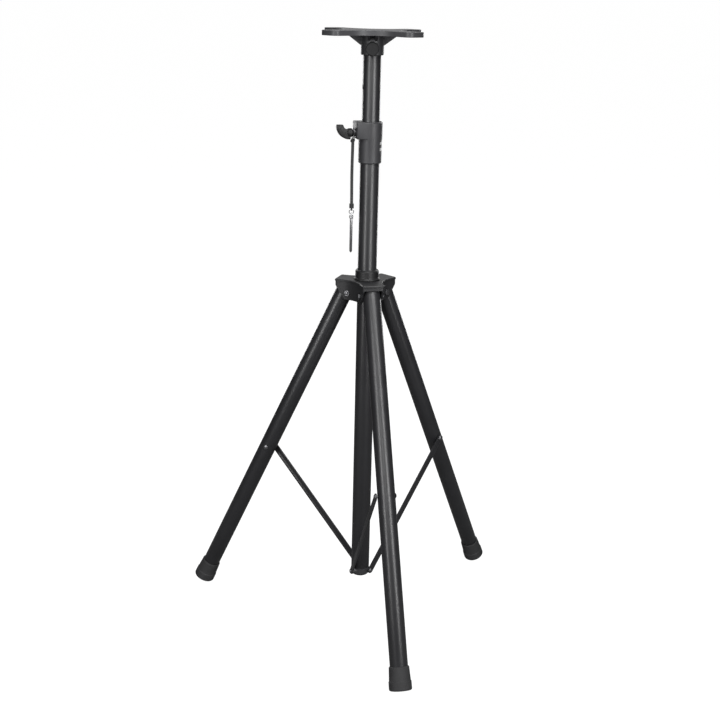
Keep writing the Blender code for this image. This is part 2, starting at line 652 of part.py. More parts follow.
def make_lock_knob(shop, names, radius, back, depth, flutes, flute_depth, tip, group):
    """A fluted hand knob and its screw. The group's frame has +Z along the screw, outward."""
    knob_name, screw_name = names
    screw_end = back + depth * LOCK_SCREW_SHARE
    shop.rod(screw_name, LOCK_SCREW_RADIUS, tip, screw_end, "steel", Matrix(), group)
    outline = fluted_outline(radius, flute_depth, flutes)
    knob = shop.plate(knob_name, outline, depth, "moulding", shifted(z=back + depth / 2), group)
    round_edges(knob, CAST_EDGE, 1, limit=60.0)
    bore = shop.rod(knob_name + "_bore", LOCK_SCREW_RADIUS + GAP, back - CUT_PAST,
                    screw_end + BORE_CLEARANCE, None, Matrix(), group)
    shop.cut(knob, bore)


# ---------------------------------------------------------------- the hub
def make_hub(shop, group):
    """The three-lobed casting that the legs hang from, with its collar, bush and pivot bolts."""
    middle = (HUB_TOP + HUB_BOTTOM) / 2
    lobes = bearing(LEG_AZIMUTHS["front"])
    outline = star_outline(3, HUB_LOBE_HALF_WIDTH, HUB_REACH, HUB_WAIST, HUB_CORNER)
    hub = shop.plate("hub_body", outline, HUB_TOP - HUB_BOTTOM, "powder_coat",
                     shifted(z=middle) @ lobes, group)
    lip_line = star_outline(3, HUB_LOBE_HALF_WIDTH + HUB_LIP, HUB_REACH + HUB_LIP,
                            HUB_WAIST + HUB_LIP, HUB_CORNER + HUB_LIP)
    lip = shop.plate("lip", lip_line, HUB_LIP_HEIGHT, None,
                     shifted(z=HUB_TOP - HUB_LIP_HEIGHT / 2 + HUB_LIP_RISE) @ lobes, group)
    round_edges(lip, EDGE_BREAK, 1, limit=60.0)
    shop.join(hub, lip)
    for side, azimuth in LEG_AZIMUTHS.items():
        cut_leg_slot(shop, hub, side, azimuth, group)
        pivot_line = bearing(azimuth) @ shifted(x=LEG_PIVOT_RHO, z=LEG_PIVOT_Z) @ ABOUT_Y
        drill_pivot(shop, hub, side, pivot_line, group)
        make_pivot_bolt(shop, side, pivot_line, group)
    bore = shop.rod("hub_bore", HUB_BORE, HUB_BOTTOM - CUT_PAST, HUB_TOP + CUT_PAST, None,
                    Matrix(), group, sides=ROUND)
    shop.cut(hub, bore)
    screw_bore = shop.rod("hub_screw_bore", LOCK_SCREW_RADIUS + GAP, SCREW_BORE_START,
                          HUB_KNOB_BACK, None, shifted(z=HUB_KNOB_Z) @ ABOUT_Y, group)
    shop.cut(hub, screw_bore)
    make_hub_sleeves(shop, group)


def cut_leg_slot(shop, hub, side, azimuth, group):
    """The slot that a leg's top folds in, and the slanted cut under the outer end of its ears."""
    ceiling = HUB_TOP - HUB_LINTEL
    past = HUB_REACH + HUB_CUT_OUT
    under = HUB_BOTTOM - CUT_PAST
    slot = shop.box("slot_" + side, (HUB_SLOT_START, -HUB_SLOT_HALF_WIDTH, under),
                    (past, HUB_SLOT_HALF_WIDTH, ceiling), None, bearing(azimuth), group)
    shop.cut(hub, slot)
    shoulder = ceiling - EDGE_BREAK
    heel = [(HUB_EAR_TOE, HUB_BOTTOM), (HUB_EAR_TOE, under), (past, under), (past, shoulder)]
    heel.append((HUB_REACH, shoulder))
    wedge = shop.plate("ear_cut_" + side, heel, 2 * CUT_ACROSS, None,
                       bearing(azimuth) @ Matrix.Rotation(math.pi / 2, 4, "X"), group)
    shop.cut(hub, wedge)


def drill_pivot(shop, hub, side, pivot_line, group):
    """The pivot bolt's bore through both ears, and the seats for its head and nut."""
    reach = HUB_SPOT_FACE + HUB_CUT_OUT
    bore = shop.rod("bolt_bore_" + side, PIVOT_BOLT_RADIUS + GAP, -reach, reach, None, pivot_line,
                    group)
    shop.cut(hub, bore)
    for hand in (-1, 1):
        low, high = sorted((hand * HUB_SPOT_FACE, hand * reach))
        spot = shop.rod("spot_%s_%d" % (side, hand), HUB_SPOT_RADIUS, low, high, None, pivot_line,
                        group)
        shop.cut(hub, spot)


def make_hub_sleeves(shop, group):
    """The collar on top of the casting and the bush that slides on the mast."""
    bore = LOWER_TUBE_RADIUS + GAP
    base = HUB_TOP + HUB_LIP_RISE + GAP
    top = base + HUB_COLLAR_HEIGHT
    radius = HUB_COLLAR_RADIUS
    skirt = HUB_COLLAR_SKIRT
    profile = [(bore, top), (radius - HUB_COLLAR_CHAMFER, top), (radius, top - HUB_COLLAR_CHAMFER)]
    profile += [(radius, base + 2 * skirt), (radius + skirt, base + skirt), (radius + skirt, base)]
    profile.append((bore, base))
    shop.turned("hub_collar", profile, "moulding", Matrix(), group, closed=True)
    shop.ring("hub_bush", bore, HUB_BORE - GAP, HUB_BOTTOM, HUB_TOP, "liner", Matrix(), group)


def make_pivot_bolt(shop, side, line, group):
    """A hexagon bolt through both ears and the leg, and its nut."""
    seat = HUB_SPOT_FACE + GAP
    tail = seat + PIVOT_HEAD_HEIGHT + PIVOT_BOLT_TAIL
    bolt = shop.rod("leg_pivot_bolt_" + side, PIVOT_BOLT_RADIUS, -seat - EDGE_BREAK, tail, "steel",
                    line, group)
    head = shop.rod("bolt_head_" + side, PIVOT_HEAD_RADIUS, -seat - PIVOT_HEAD_HEIGHT, -seat, None,
                    line, group, sides=HEXAGON)
    shop.join(bolt, head)
    nut = shop.rod("leg_pivot_nut_" + side, PIVOT_HEAD_RADIUS, seat, seat + PIVOT_HEAD_HEIGHT,
                   "steel", line, group, sides=HEXAGON)
    thread = shop.rod("nut_bore_" + side, PIVOT_BOLT_RADIUS + GAP, seat - CUT_PAST,
                      seat + PIVOT_HEAD_HEIGHT + CUT_PAST, None, line, group)
    shop.cut(nut, thread)


# ---------------------------------------------------------------- legs and braces
def make_leg(shop, side, group):
    """One leg. The group's frame is on the pivot, +Z up the leg and +X away from the mast."""
    axis = shifted(x=LEG_AXIS_OFFSET)
    inner = LEG_RADIUS - LEG_WALL
    tube_bottom = -(LEG_LENGTH - FOOT_SOLE - GAP)
    tube = shop.ring("leg_tube_" + side, inner, LEG_RADIUS, tube_bottom, LEG_TOP_OVERHANG,
                     "powder_coat", axis, group)
    cross = shop.rod("leg_bore_" + side, PIVOT_BOLT_RADIUS + GAP, -CUT_ACROSS, CUT_ACROSS, None,
                     ABOUT_Y, group)
    shop.cut(tube, cross)
    plug = shop.rod("leg_top_plug_" + side, inner - GAP, -LEG_PLUG_DEPTH, LEG_TOP_OVERHANG - GAP,
                    "liner", axis, group, sides=ROUND)
    shop.cut(plug, cross)
    shop.turned("leg_foot_" + side, foot_profile(), "rubber", axis @ shifted(z=-LEG_LENGTH), group)
    rivet_line = axis @ shifted(z=-LEG_BRACE_DROP) @ Matrix.Rotation(math.pi / 2, 4, "X")
    make_leg_rivet(shop, "leg_rivet_head_" + side, rivet_line, group)


def foot_profile():
    """The moulded foot: a cup with a chamfered rim and a wider band round its sole."""
    step = FOOT_BAND_HEIGHT
    top = FOOT_HEIGHT
    bore = LEG_RADIUS + GAP
    rim = FOOT_RIM_RADIUS
    waist = FOOT_RADIUS - FOOT_CHAMFER
    profile = [(0.0, FOOT_SOLE), (bore, FOOT_SOLE), (bore, top), (rim - FOOT_CHAMFER, top)]
    profile += [(rim, top - FOOT_CHAMFER), (waist, step + FOOT_CHAMFER)]
    profile.append((FOOT_RADIUS - FLANGE_INSET, step))
    profile += [(FOOT_RADIUS, FOOT_EDGE)]
    profile += arc((FOOT_RADIUS - FOOT_EDGE, FOOT_EDGE), FOOT_EDGE, 0, -90, 4)[1:]
    profile.append((0.0, 0.0))
    return profile


def make_leg_rivet(shop, name, matrix, group):
    """The tail of the brace's rivet, formed against the far side of the leg."""
    seat = LEG_RADIUS + GAP
    profile = [(radius, seat + height) for radius, height in rivet_dome()]
    profile.append((0.0, seat))
    shop.turned(name, profile, "steel", matrix @ Matrix.Rotation(math.pi, 4, "X"), group,
                sides=SMALL_ROUND)


def make_brace(shop, side, group):
    """One flat brace. The group's frame is on its lower pivot, +Z up the brace."""
    half = BRACE_WIDTH / 2
    outline = arc((0.0, BRACE_LENGTH), half, 0, 180, 8) + arc((0.0, 0.0), half, 180, 360, 8)
    middle = -(BRACE_INNER_FACE + BRACE_OUTER_FACE) / 2
    upright = Matrix.Rotation(math.pi / 2, 4, "X")
    bar = shop.plate("brace_" + side, outline, BRACE_THICKNESS, "powder_coat",
                     shifted(y=middle) @ upright, group)
    for end, height in (("low", 0.0), ("high", BRACE_LENGTH)):
        hole = shop.rod("brace_hole_%s_%s" % (end, side), RIVET_RADIUS + GAP, -CUT_ACROSS, 0.0,
                        None, shifted(z=height) @ ABOUT_Y, group)
        shop.cut(bar, hole)
    make_rivet(shop, "brace_upper_rivet_" + side, -BRACE_OUTER_FACE - GAP, -LEG_RADIUS - GAP,
               shifted(z=BRACE_LENGTH) @ ABOUT_Y, group)


# ---------------------------------------------------------------- the safety pin on its cord
def make_pendant(shop, group):
    """The safety pin, its ring and its cord. The group's frame is on the cord's upper end."""
    hang = shifted(z=-CORD_PIVOT_Z)
    make_cord(shop, hang, group)
    top_ferrule = CORD_TOP - TOP_FERRULE_DROP
    shop.ring("lanyard_top_ferrule", CORD_RADIUS + GAP, CORD_RADIUS + TOP_FERRULE_WALL,
              top_ferrule, top_ferrule + FERRULE_LENGTH, "rubber", hang, group, sides=SMALL_ROUND)
    make_end_ferrule(shop, hang, group)
    ring_z = FERRULE_EYE_Z - GAP - RING_RADIUS
    make_ring(shop, hang @ shifted(z=ring_z), group)
    make_pin(shop, ring_z - RING_RADIUS - GAP, hang, group)


def cord_route():
    """The cord's centre line: hanging, with the slight bow of a cord that was coiled."""
    points = []
    for step in range(CORD_STEPS + 1):
        share = step / CORD_STEPS
        bow = CORD_BOW * math.sin(math.pi * share) ** 2
        points.append((-bow, 0.0, CORD_TOP + (CORD_BOTTOM - CORD_TOP) * share))
    return points


def make_cord(shop, hang, group):
    curve = bpy.data.curves.new("lanyard_cord_route", "CURVE")
    curve.dimensions = "3D"
    curve.bevel_depth = CORD_RADIUS
    curve.bevel_resolution = 2
    curve.use_fill_caps = True
    route = cord_route()
    spline = curve.splines.new("POLY")
    spline.points.add(len(route) - 1)
    for point, place in zip(spline.points, route):
        point.co = (*place, 1.0)
    drawing = bpy.data.objects.new("lanyard_cord_route", curve)
    shop.cutters.objects.link(drawing)
    shop.place("lanyard_cord", shop.mesh_of(drawing, "lanyard_cord"), "cord", hang, group)


def make_eye(shop, piece, name, centre_z, hang, group):
    """A flat eye in the YZ plane, joined to a piece and drilled."""
    line = hang @ shifted(z=centre_z) @ ABOUT_X
    half = EYE_THICKNESS / 2
    tab = shop.rod(name + "_tab", EYE_RADIUS, -half, half, None, line, group)
    shop.join(piece, tab)
    hole = shop.rod(name + "_hole", EYE_HOLE, -CUT_PAST, CUT_PAST, None, line, group,
                    sides=EYE_HOLE_SIDES)
    shop.cut(piece, hole)


def make_end_ferrule(shop, hang, group):
    """The crimped ferrule on the cord's lower end."""
    radius = CORD_RADIUS + END_FERRULE_WALL
    bore = CORD_RADIUS + GAP
    low = FERRULE_EYE_Z + END_FERRULE_FLOOR
    floor = CORD_BOTTOM - GAP
    top = CORD_BOTTOM + FERRULE_LENGTH
    profile = [(0.0, floor), (bore, floor), (bore, top), (radius, top), (radius, low), (0.0, low)]
    ferrule = shop.turned("lanyard_end_ferrule", profile, "rubber", hang, group, sides=SMALL_ROUND)
    make_eye(shop, ferrule, "ferrule_eye", FERRULE_EYE_Z, hang, group)


def make_ring(shop, matrix, group):
    wire = []
    for step in range(RING_WIRE_SIDES):
        angle = -math.tau * step / RING_WIRE_SIDES
        wire.append((RING_RADIUS + RING_WIRE * math.cos(angle), RING_WIRE * math.sin(angle)))
    shop.turned("pin_ring", wire, "steel", matrix @ ABOUT_Y, group, closed=True, sides=RING_SIDES)


def make_pin(shop, eye_z, hang, group):
    """The steel safety pin, point down, hanging by the eye in its head."""
    top = eye_z - PIN_NECK
    low = top - PIN_HEAD_LENGTH
    head = PIN_HEAD_RADIUS
    edge = PIN_HEAD_EDGE
    profile = [(0.0, top), (head - edge, top), (head, top - edge), (head, low + edge)]
    profile += [(head - edge, low), (PIN_RADIUS, low), (PIN_RADIUS, PIN_TIP_Z + PIN_POINT)]
    profile += [(PIN_POINT_RADIUS, PIN_TIP_Z), (0.0, PIN_TIP_Z)]
    pin = shop.turned("safety_pin", profile, "steel", hang, group, sides=SMALL_ROUND)
    make_eye(shop, pin, "pin_eye", eye_z, hang, group)


# ---------------------------------------------------------------- assembly
def build():
    clear_scene()
    shop = Workshop()
    root = shop.group("mast", shifted(y=MAST_Y))
    make_lower_mast(shop, root)
    outward = shifted(z=CLAMP_SCREW_Z) @ Matrix.Rotation(-math.pi / 2, 4, "Y")
    make_clamp_knob(shop, shop.group("clamp_knob_axis", outward, root))
    make_pendant(shop, shop.group("pendant_axis", shifted(x=CORD_X, z=CORD_PIVOT_Z), root))
    make_upper_mast(shop, shop.group("upper_mast", Matrix(), root))
    tray = shop.group("tray", Matrix.Rotation(TRAY_TURN, 4, "Z"), root)
    make_tray(shop, tray)
    toward_front = shifted(z=TRAY_KNOB_Z) @ Matrix.Rotation(math.pi / 2, 4, "X")
    tray_knob = shop.group("tray_knob_axis", toward_front, tray)
    make_lock_knob(shop, ("tray_lock_knob", "tray_lock_screw"), TRAY_KNOB_RADIUS, TRAY_KNOB_BACK,
                   TRAY_KNOB_DEPTH, TRAY_KNOB_FLUTES, TRAY_KNOB_FLUTE_DEPTH,
                   UPPER_TUBE_RADIUS + GAP, tray_knob)
    hub = shop.group("hub", Matrix(), root)
    make_hub(shop, hub)
    toward_back = shifted(z=HUB_KNOB_Z) @ Matrix.Rotation(-math.pi / 2, 4, "X")
    hub_knob = shop.group("hub_knob_axis", toward_back, hub)
    make_lock_knob(shop, ("hub_lock_knob", "hub_lock_screw"), HUB_KNOB_RADIUS, HUB_KNOB_BACK,
                   HUB_KNOB_DEPTH, HUB_KNOB_LOBES, HUB_KNOB_LOBE_DEPTH, HUB_BORE + GAP, hub_knob)
    for side, azimuth in LEG_AZIMUTHS.items():
        pivot = bearing(azimuth) @ shifted(x=LEG_PIVOT_RHO, z=LEG_PIVOT_Z)
        leg = shop.group("leg_" + side, pivot @ Matrix.Rotation(-LEG_ANGLE, 4, "Y"), hub)
        make_leg(shop, side, leg)
        pin = bearing(azimuth) @ shifted(x=BRACE_PIN_RHO, z=BRACE_PIN_Z)
        lean = Matrix.Rotation(BRACE_ANGLE, 4, "Y")
        brace = shop.group("brace_" + side + "_axis", pin @ lean, root)
        make_brace(shop, side, brace)


build()
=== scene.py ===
"""Speaker tripod stand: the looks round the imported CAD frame.

Metres, +Z up, in the CAD model's own frame. The camera and the safety pin's cord come first, then
the other finer pieces, the edges and materials of the CAD nodes, and last the lights and floor.
"""
import json
import math

import bmesh
import bpy
from mathutils import Matrix, Vector

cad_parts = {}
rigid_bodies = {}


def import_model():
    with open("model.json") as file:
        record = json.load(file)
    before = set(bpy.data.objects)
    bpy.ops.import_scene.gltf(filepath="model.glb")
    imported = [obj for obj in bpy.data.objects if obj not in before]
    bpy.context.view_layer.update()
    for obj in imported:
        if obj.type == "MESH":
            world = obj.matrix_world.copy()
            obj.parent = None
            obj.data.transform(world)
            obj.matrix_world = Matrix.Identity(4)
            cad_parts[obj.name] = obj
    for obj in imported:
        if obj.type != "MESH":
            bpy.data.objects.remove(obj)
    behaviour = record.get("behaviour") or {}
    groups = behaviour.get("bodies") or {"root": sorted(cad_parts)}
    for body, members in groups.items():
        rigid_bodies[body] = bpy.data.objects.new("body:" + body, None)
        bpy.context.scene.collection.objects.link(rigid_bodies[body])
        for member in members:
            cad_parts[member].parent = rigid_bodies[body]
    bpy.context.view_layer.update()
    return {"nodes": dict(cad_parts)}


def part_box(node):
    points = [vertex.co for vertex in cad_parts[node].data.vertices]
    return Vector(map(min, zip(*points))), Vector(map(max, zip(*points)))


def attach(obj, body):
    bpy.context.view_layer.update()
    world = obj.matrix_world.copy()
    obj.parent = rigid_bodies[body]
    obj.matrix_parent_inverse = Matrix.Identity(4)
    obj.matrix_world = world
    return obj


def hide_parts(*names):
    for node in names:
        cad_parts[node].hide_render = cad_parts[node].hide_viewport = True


for leftover in list(bpy.data.objects):
    bpy.data.objects.remove(leftover, do_unlink=True)
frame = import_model()

SIDES = ("front", "right", "left")
HANGING_NODES = ("lanyard_end_ferrule", "pin_ring", "safety_pin")

# ---------------------------------------------------------------- camera
SENSOR_WIDTH = 36.0              # mm
LENS = 62.995                    # mm
LENS_SHIFT = (-0.011944, 0.000833)      # right and up, in widths of the picture
CAMERA_DISTANCE = 2.4636         # from the mast axis, level
CAMERA_HEIGHT = 1.2896
CAMERA_BEARING = math.radians(-13.05)   # the camera's side of the stand, from -Y
CAMERA_YAW = 0.003               # radians
CAMERA_PITCH = 0.2908            # radians, downward
CAMERA_ROLL = 0.0247             # radians

# ---------------------------------------------------------------- the safety pin's cord, as in the CAD
CORD_RADIUS = 0.0030
CORD_X = -0.0345
CORD_TOP = 1.0020
CORD_BOTTOM = 0.8680
CORD_BOW = 0.0006
CORD_STEPS = 14
BRAID_SIDES = 32
BRAID_RINGS_PER_STEP = 24
BRAID_STRANDS = 4                # strands turning each way
BRAID_PITCH = 0.014              # height of one whole turn of a strand
BRAID_DEPTH = 0.00035
KNOT_DROP = 0.0045               # the knot's middle, below the cord's upper end
KNOT_RADIUS = 0.0038
KNOT_THREAD = 0.0012
KNOT_HEIGHT = 0.0020
KNOT_STEPS = 60
LOOP_X = -0.03385                # the middle of the eyelet's thickness
LOOP_Z = 1.0018
LOOP_HALF_WIDTH = 0.0021
LOOP_HALF_HEIGHT = 0.0040        # its top passes through the eyelet's hole
LOOP_THREAD = 0.0008
LOOP_STEPS = 32
THREAD_ROUNDING = 4              # bevel steps of a round thread

# ---------------------------------------------------------------- printed bars on the clamp
MARK_HEIGHT = 0.0052
MARK_STEPS = 20
MARK_PRINT = 0.00012             # how far the print stands proud
MARK_HEIGHTS = (0.9940, 0.9822)
MARK_START = math.radians(-46.0)  # from +X, round the clamp
MARK_END = math.radians(20.0)
SKIRT_SET_BACK = 0.0007          # the clamp's lower wall, inside its wider top

# ---------------------------------------------------------------- edges of the CAD nodes
WELD_DISTANCE = 1e-5
SMOOTH_ANGLE = math.radians(34.0)
FLAT_ANGLE = math.radians(0.3)
NO_EDGE = 0.0
SMALL_EDGE = 0.00025
TUBE_EDGE = 0.0004
EDGE_SEGMENTS = 2

# ---------------------------------------------------------------- colours and grains
TRAY_BLACK = (0.030, 0.030, 0.0325)
HUB_BLACK = (0.013, 0.013, 0.0142)
TUBE_BLACK = (0.014, 0.014, 0.0155)
PLASTIC_BLACK = (0.027, 0.027, 0.0295)
KNOB_BLACK = (0.0065, 0.0065, 0.0070)
LINER_GREY = (0.060, 0.060, 0.063)
RUBBER_BLACK = (0.018, 0.018, 0.019)
ZINC_DARK = (0.26, 0.26, 0.265)
ZINC_BRIGHT = (0.46, 0.46, 0.47)
BLACK_PLATE_DARK = (0.10, 0.10, 0.105)
BLACK_PLATE_LIGHT = (0.17, 0.17, 0.178)
BARE_STEEL = (0.42, 0.42, 0.44)
NYLON_DARK = (0.006, 0.006, 0.0065)
NYLON_LIGHT = (0.022, 0.022, 0.023)
PRINT_THIN = (0.30, 0.30, 0.30)
PRINT_FULL = (0.44, 0.44, 0.44)

# Clouds, grains and streaks are noise scales, in waves to the metre. A tone multiplies a colour.
NOISE_LOW = 0.30                 # the noise's value where a mottled colour is darkest
COAT_CLOUD = 24.0
COAT_GLOSS_CLOUD = 90.0
COAT_TONES = (0.86, 1.12)
SPECK_FINENESS = 2.2             # specks, as a multiple of the coat's grain
SPECK_TONE = 1.9
COAT_WORN_TONE = 3.2
POLE_PEEL = 620.0
POLE_CLOUD = 16.0
POLE_STREAKS = (420.0, 420.0, 5.0)
POLE_TONES = (0.88, 1.10)
STREAK_TONE = 1.8
FINE_GRAIN = 1.6                 # a moulding's fine relief, as a multiple of its pits
PLASTIC_CLOUD = 35.0
PLASTIC_GLOSS_CLOUD = 140.0
PLASTIC_TONES = (0.88, 1.12)
PLASTIC_WORN_TONE = 2.4
PLASTIC_ROUGHNESS = (0.40, 0.56)
RUBBER_GRAIN = 1400.0
RUBBER_DUST = 60.0
RUBBER_TONES = (0.85, 1.15)
DUST_LINE = 0.030                # metres above the floor
DUST_SHARE = 0.55
DUST_TONE = 3.4
RUBBER_ROUGHNESS = (0.66, 0.84)
ZINC_GRAIN = (900.0, 900.0, 120.0)
ZINC_BLOTCH = 180.0
ZINC_ROUGHNESS = (0.20, 0.40)
FASTENER_GRAIN = 700.0
FASTENER_ROUGHNESS = (0.26, 0.42)
CORD_FIBRE = (2600.0, 2600.0, 700.0)
CORD_ROUGHNESS = (0.66, 0.88)
PRINT_PATCH = 900.0
PRINT_ROUGHNESS = (0.42, 0.60)
WEAR_SAMPLES = 4
WEAR_FULL = 0.80                 # agreement of the rounded and the true normal
WEAR_NONE = 0.97

# ---------------------------------------------------------------- light
WHITE = (1.0, 1.0, 1.0, 1.0)
FLOOR_SIDE = 400.0               # its edge is past the top of the picture
FLOOR_DROP = 0.0003
FLOOR_SHADE = 0.12
FLOOR_ROUGHNESS = 0.9
FLOOR_GLOW = 0.98                # the sweep's own light, as the camera sees it
BACKDROP = 1.0                   # brightness of the surround, as the camera sees it
AMBIENT = 0.14                   # as matt surfaces see it
GLOSS_SURROUND = 0.03            # as gloss sees it
STRIP = {"distance": 2.4, "height": 1.62, "size": (0.52, 2.75), "aim_height": 1.2}
LIGHTS = {                       # bearings in degrees from the camera's side, positive to the right
    "left_strip": {**STRIP, "bearing": -36.0, "watts": 50.0},
    "right_strip": {**STRIP, "bearing": 36.0, "watts": 64.0},
    "front_fill": {"bearing": -3.0, "distance": 3.2, "height": 2.3, "size": (1.0, 1.2),
                   "aim_height": 0.9, "watts": 22.0},
    "overhead": {"bearing": 20.0, "distance": 0.9, "height": 3.0, "size": (1.6, 1.6),
                 "aim_height": 0.6, "watts": 48.0},
    "back_panel": {"bearing": 180.0, "distance": 3.0, "height": 2.1, "size": (3.2, 1.4),
                   "aim_height": 0.8, "watts": 12.0},
    "back_left_strip": {**STRIP, "bearing": -152.0, "watts": 26.0},
    "back_right_strip": {**STRIP, "bearing": 152.0, "watts": 26.0},
}
UNSEEN_LIGHTS = ("back_left_strip", "back_right_strip")     # hidden from the camera


def set_camera(mast_y):
    """The camera of the photograph: fitted to the mast and legs, on the stand's own axes."""
    reach = math.cos(CAMERA_PITCH)
    forward = Vector((math.sin(CAMERA_YAW) * reach, math.cos(CAMERA_YAW) * reach,
                      -math.sin(CAMERA_PITCH)))
    level = Vector((math.cos(CAMERA_YAW), -math.sin(CAMERA_YAW), 0.0))
    upright = level.cross(forward)
    right = level * math.cos(CAMERA_ROLL) + upright * math.sin(CAMERA_ROLL)
    up = upright * math.cos(CAMERA_ROLL) - level * math.sin(CAMERA_ROLL)
    spin = Matrix.Rotation(CAMERA_BEARING, 3, "Z")
    axes = Matrix((right, up, -forward)).transposed()
    data = bpy.data.cameras.new("photo_camera")
    data.sensor_width = SENSOR_WIDTH
    data.lens = LENS
    data.shift_x, data.shift_y = LENS_SHIFT
    camera = bpy.data.objects.new("photo_camera", data)
    place = spin @ Vector((0.0, -CAMERA_DISTANCE, CAMERA_HEIGHT)) + Vector((0.0, mast_y, 0.0))
    camera.matrix_world = Matrix.Translation(place) @ (spin @ axes).to_4x4()
    bpy.context.scene.collection.objects.link(camera)
    bpy.context.scene.camera = camera


def new_piece(name, mesh, material, body):
    """A smooth mesh piece that rides on a body."""
    piece = bpy.data.objects.new(name, mesh)
    bpy.context.scene.collection.objects.link(piece)
    mesh.materials.append(material)
    mesh.shade_smooth()
    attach(piece, body)
    return piece


def mesh_from(name, vertices, faces):
    mesh = bpy.data.meshes.new(name)
    mesh.from_pydata(vertices, [], faces)
    mesh.validate()
    return mesh


def tube_faces(rings, sides):
    """The faces of a closed tube whose vertices go round it ring by ring."""
    faces = []
    for ring in range(rings - 1):
        for side in range(sides):
            after = (side + 1) % sides
            here = ring * sides
            there = here + sides
            faces.append((here + side, here + after, there + after, there + side))
    faces.append(tuple(reversed(range(sides))))
    faces.append(tuple(range((rings - 1) * sides, rings * sides)))
    return faces


# ---------------------------------------------------------------- cord
def cord_route(mast_y):
    """The cord's centre line: hanging, with the slight bow of a cord that was coiled."""
    points = []
    for step in range(CORD_STEPS + 1):
        share = step / CORD_STEPS
        bow = CORD_BOW * math.sin(math.pi * share) ** 2
        points.append((CORD_X - bow, mast_y, CORD_TOP + (CORD_BOTTOM - CORD_TOP) * share))
    return points


def braid_radius(angle, height):
    """The cord's radius with the crossing strands of its braided sheath."""
    climb = math.tau * height / BRAID_PITCH
    left = abs(math.cos(BRAID_STRANDS * (angle + climb) / 2))
    right = abs(math.cos(BRAID_STRANDS * (angle - climb) / 2))
    return CORD_RADIUS - BRAID_DEPTH * (1 - math.sqrt(max(left, right)))


def make_cord(mast_y, material):
    """The braided cord, and the route that it follows."""
    route = cord_route(mast_y)
    vertices = []
    rings = CORD_STEPS * BRAID_RINGS_PER_STEP + 1
    for ring in range(rings):
        share = ring / BRAID_RINGS_PER_STEP
        step = min(int(share), CORD_STEPS - 1)
        centre = Vector(route[step]).lerp(Vector(route[step + 1]), share - step)
        for side in range(BRAID_SIDES):
            angle = math.tau * side / BRAID_SIDES
            radius = braid_radius(angle, centre.z)
            vertices.append((centre.x + radius * math.cos(angle),
                             centre.y - radius * math.sin(angle), centre.z))
    mesh = mesh_from("lanyard_braid", vertices, tube_faces(rings, BRAID_SIDES))
    cord = new_piece("lanyard_braid", mesh, material, "pendant")
    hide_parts("lanyard_cord")
    return cord, route


def closed_thread(name, points, radius, material):
    """A closed round thread along some points, riding with the safety pin."""
    curve = bpy.data.curves.new(name, "CURVE")
    curve.dimensions = "3D"
    curve.bevel_depth = radius
    curve.bevel_resolution = THREAD_ROUNDING
    spline = curve.splines.new("POLY")
    spline.points.add(len(points) - 1)
    for target, point in zip(spline.points, points):
        target.co = (*point, 1.0)
    spline.use_cyclic_u = True
    spline.use_smooth = True
    thread = bpy.data.objects.new(name, curve)
    bpy.context.scene.collection.objects.link(thread)
    curve.materials.append(material)
    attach(thread, "pendant")
    return thread


def make_knot(mast_y, material):
    """The overhand knot that holds the cord under its eyelet: a thread along a trefoil."""
    points = []
    for step in range(KNOT_STEPS):
        angle = math.tau * step / KNOT_STEPS
        across = (math.sin(angle) + 2 * math.sin(2 * angle)) / 3
        along = (math.cos(angle) - 2 * math.cos(2 * angle)) / 3
        rise = KNOT_HEIGHT * math.sin(3 * angle)
        points.append((CORD_X + KNOT_RADIUS * across, mast_y + KNOT_RADIUS * along,
                       CORD_TOP - KNOT_DROP + rise))
    knot = closed_thread("lanyard_knot", points, KNOT_THREAD, material)
    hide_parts("lanyard_top_ferrule")
    return knot


def make_loop(mast_y, material):
    """The cord's end, passed through the eyelet and back into the knot."""
    points = []
    for step in range(LOOP_STEPS):
        angle = math.tau * step / LOOP_STEPS
        points.append((LOOP_X + LOOP_HALF_WIDTH * math.sin(angle), mast_y,
                       LOOP_Z + LOOP_HALF_HEIGHT * math.cos(angle)))
    return closed_thread("lanyard_loop", points, LOOP_THREAD, material)


# ---------------------------------------------------------------- printed bars
def make_mark(name, height, mast_y, radius, material):
    """A plain bar printed round the clamp, where the real one has lettering."""
    vertices = []
    for step in range(MARK_STEPS + 1):
        angle = MARK_START + (MARK_END - MARK_START) * step / MARK_STEPS
        for reach in (radius - MARK_PRINT, radius + MARK_PRINT):
            for rise in (-MARK_HEIGHT / 2, MARK_HEIGHT / 2):
                vertices.append((reach * math.cos(angle), mast_y + reach * math.sin(angle),
                                 height + rise))
    faces = [(0, 1, 3, 2)]
    for step in range(MARK_STEPS):
        here = 4 * step
        there = here + 4
        faces += [(here + 2, here + 3, there + 3, there + 2), (here, there, there + 1, here + 1),
                  (here + 1, there + 1, there + 3, here + 3), (here, here + 2, there + 2, there)]
    last = 4 * MARK_STEPS
    faces.append((last, last + 2, last + 3, last + 1))
    mesh = mesh_from(name, vertices, faces)
    mark = new_piece(name, mesh, material, "mast")
    mark.data.set_sharp_from_angle(angle=SMOOTH_ANGLE)


